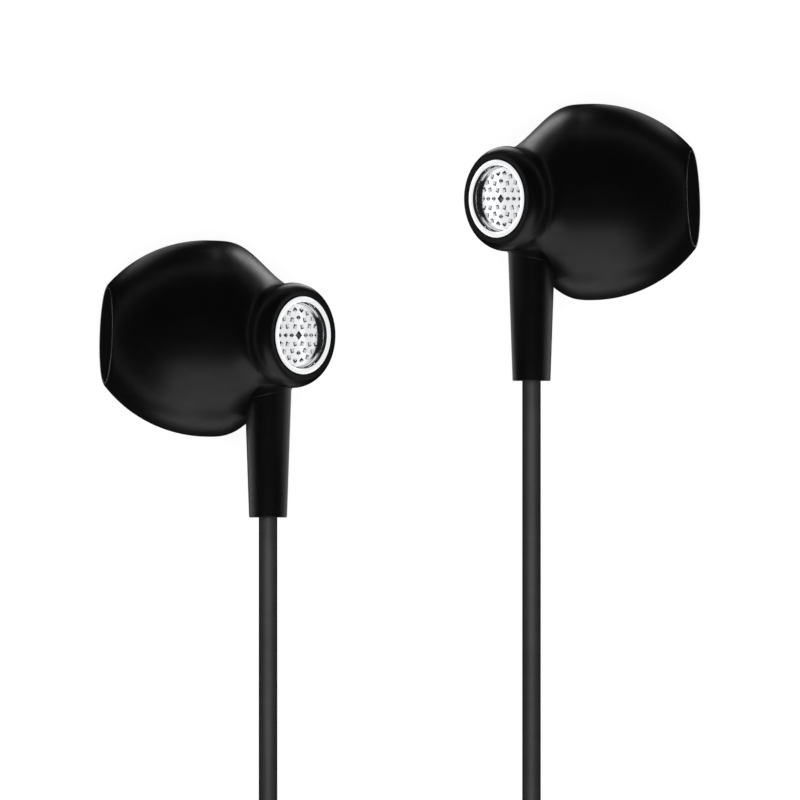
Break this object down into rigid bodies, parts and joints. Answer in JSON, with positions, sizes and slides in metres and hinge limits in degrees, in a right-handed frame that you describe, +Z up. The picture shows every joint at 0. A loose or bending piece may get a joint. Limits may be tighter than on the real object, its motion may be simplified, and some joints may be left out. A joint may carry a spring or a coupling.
{
  "type": "wired earphones",
  "caption": "Half-in-ear wired earphones laid flat: two moulded buds with canted chrome-ringed nozzles, stems, limp cords in coils, a Y splitter and a 3.5 mm plug.",
  "frame": {"origin": "on the table, under the middle of the box round the two buds with their stems; the put-away cords, splitter and plug lie towards -Y and do not count", "axes": "+Z up from the table and out of the nozzles' side, +X from the left bud to the right bud, -Y the way the cords leave the stems"},
  "size_m": [0.0518, 0.138, 0.0188],
  "materials": {
    "body_plastic": "satin-gloss moulded ABS",
    "cap_plastic": "gloss moulded ABS",
    "ring_chrome": "bright plated and polished",
    "mesh_cloth": "fine woven damping mesh",
    "stem_rubber": "satin moulded TPE",
    "cord_rubber": "matte extruded TPE",
    "moulded_rubber": "satin moulded TPE",
    "driver_plastic": "moulded PBT",
    "steel": "zinc-plated pressed steel",
    "magnet_alloy": "nickel-plated sintered magnet",
    "copper_wire": "enamelled copper winding",
    "film": "thin formed PET film",
    "brass_ring": "turned brass",
    "felt": "acoustic tuning paper",
    "board": "glass-epoxy board with solder pads",
    "contact_plating": "gold-plated turned brass",
    "insulator_plastic": "moulded insulator"
  },
  "bodies": {
    "earphones": {"left_front_shell": "body_plastic", "left_rear_shell": "body_plastic", "left_rear_cap": "cap_plastic", "left_nozzle_ring": "ring_chrome", "left_nozzle_grille": "ring_chrome", "left_acoustic_mesh": "mesh_cloth", "left_stem": "stem_rubber", "left_cord_anchor": "cord_rubber", "left_driver_frame": "driver_plastic", "left_magnet_cup": "steel", "left_magnet": "magnet_alloy", "left_top_plate": "steel", "left_surround": "film", "left_clamp_ring": "brass_ring", "left_damping_felt": "felt", "left_terminal_board": "board", "right_front_shell": "body_plastic", "right_rear_shell": "body_plastic", "right_rear_cap": "cap_plastic", "right_nozzle_ring": "ring_chrome", "right_nozzle_grille": "ring_chrome", "right_acoustic_mesh": "mesh_cloth", "right_stem": "stem_rubber", "right_cord_anchor": "cord_rubber", "right_driver_frame": "driver_plastic", "right_magnet_cup": "steel", "right_magnet": "magnet_alloy", "right_top_plate": "steel", "right_surround": "film", "right_clamp_ring": "brass_ring", "right_damping_felt": "felt", "right_terminal_board": "board", "left_cord": "cord_rubber", "right_cord": "cord_rubber", "left_tail": "cord_rubber", "right_tail": "cord_rubber", "main_cord": "cord_rubber", "plug_cord": "cord_rubber", "left_coil": "cord_rubber", "right_coil": "cord_rubber", "main_coil": "cord_rubber", "splitter": "moulded_rubber", "plug_relief": "moulded_rubber", "plug_body": "moulded_rubber", "plug_sleeve": "contact_plating", "plug_insulators": "insulator_plastic", "plug_ring": "contact_plating", "plug_tip": "contact_plating"},
    "left_diaphragm": {"left_voice_coil": "copper_wire", "left_dome": "film"},
    "right_diaphragm": {"right_voice_coil": "copper_wire", "right_dome": "film"}
  },
  "joints": [
    {"name": "left_driver_travel", "type": "slide", "parent": "earphones", "child": "left_diaphragm", "axis": [0.9908, -0.0346, -0.1305], "range_m": [-0.00015, 0.00015], "stiffness_N_per_m": 28},
    {"name": "right_driver_travel", "type": "slide", "parent": "earphones", "child": "right_diaphragm", "axis": [-0.9908, -0.0346, -0.1305], "range_m": [-0.00015, 0.00015], "stiffness_N_per_m": 28}
  ]
}
